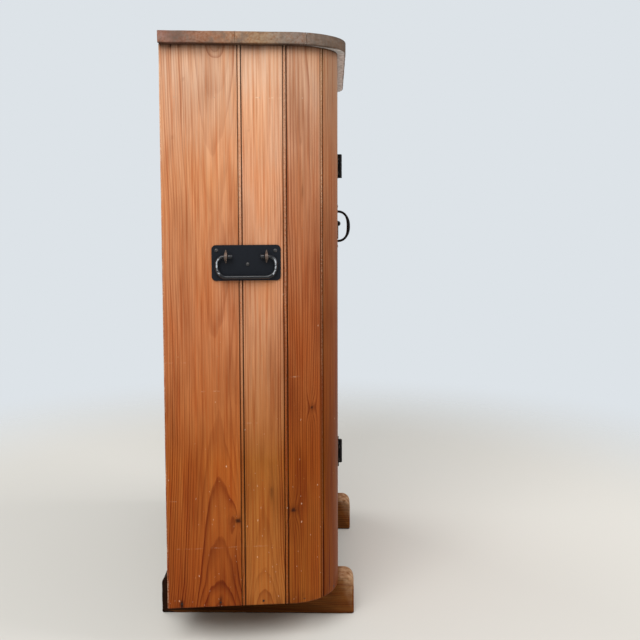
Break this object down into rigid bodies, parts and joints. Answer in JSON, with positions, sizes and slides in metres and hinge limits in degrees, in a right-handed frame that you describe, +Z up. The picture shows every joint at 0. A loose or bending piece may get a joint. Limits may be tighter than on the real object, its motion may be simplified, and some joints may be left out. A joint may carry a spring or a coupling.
{
  "type": "warming cabinet",
  "caption": "Free-standing pine warming cabinet on runners: rounded matchboard body, open back, hinged ledged door, slatted iron shelves and a drop bail for lifting on each side.",
  "frame": {"origin": "on the floor under the middle of the runners", "axes": "+Z up, -Y out of the door side, +Y out of the open back, +X to the right seen from the door"},
  "size_m": [0.8762, 0.444, 1.291],
  "materials": {
    "pine": "worn wax",
    "weathered_top": "weathered, bare",
    "runner_wood": "rough, bare",
    "black_iron": "black, worn",
    "tinplate": "aged tinplate",
    "worn_steel": "dull, rusted"
  },
  "bodies": {
    "carcass": {"left_runner": "runner_wood", "right_runner": "runner_wood", "rear_floor_board": "pine", "front_floor_board": "pine", "left_side_board_1": "pine", "left_side_board_2": "pine", "left_side_board_3": "pine", "left_side_board_4": "pine", "right_side_board_1": "pine", "right_side_board_2": "pine", "right_side_board_3": "pine", "right_side_board_4": "pine", "left_front_post": "pine", "right_front_post": "pine", "front_top_rail": "pine", "front_bottom_rail": "pine", "door_stop": "pine", "left_back_post": "pine", "right_back_post": "pine", "back_top_rail": "pine", "left_lining": "tinplate", "right_lining": "tinplate", "floor_lining": "tinplate", "left_ribs": "pine", "right_ribs": "pine", "lower_shelf": "black_iron", "middle_shelf": "black_iron", "upper_shelf": "black_iron", "rear_top_board": "weathered_top", "middle_top_board": "weathered_top", "front_top_board": "weathered_top", "lower_hinge_frame_leaf": "black_iron", "upper_hinge_frame_leaf": "black_iron", "lower_hinge_pin": "black_iron", "upper_hinge_pin": "black_iron", "frame_screws": "worn_steel", "turn_button_screw": "worn_steel", "left_handle_plate": "black_iron", "right_handle_plate": "black_iron", "left_handle_eyes": "black_iron", "right_handle_eyes": "black_iron", "handle_nails": "worn_steel", "board_nails": "worn_steel"},
    "door": {"door_board_1": "pine", "door_board_2": "pine", "door_board_3": "pine", "door_board_4": "pine", "door_board_5": "pine", "door_lining": "tinplate", "lower_door_ledge": "pine", "middle_door_ledge": "pine", "upper_door_ledge": "pine", "lower_hinge_door_leaf": "black_iron", "upper_hinge_door_leaf": "black_iron", "door_screws": "worn_steel", "pull_handle": "black_iron"},
    "turn_button": {"turn_button": "black_iron"},
    "left_bail": {"left_bail": "black_iron"},
    "right_bail": {"right_bail": "black_iron"}
  },
  "joints": [
    {"name": "door_hinge", "type": "hinge", "parent": "carcass", "child": "door", "pos_m": [-0.22895, -0.1902, 0.6985], "axis": [0, 0, -1], "range_deg": [0, 180]},
    {"name": "button_turn", "type": "hinge", "parent": "carcass", "child": "turn_button", "pos_m": [0.25195, -0.1873, 0.8835], "axis": [0, 1, 0], "continuous": true},
    {"name": "left_bail_lift", "type": "hinge", "parent": "carcass", "child": "left_bail", "pos_m": [-0.41487, 0.00369, 0.8358], "axis": [-0.0958, 0.9954, 0], "range_deg": [-3, 175]},
    {"name": "right_bail_lift", "type": "hinge", "parent": "carcass", "child": "right_bail", "pos_m": [0.41487, 0.00369, 0.8358], "axis": [-0.0958, -0.9954, 0], "range_deg": [-3, 175]}
  ]
}
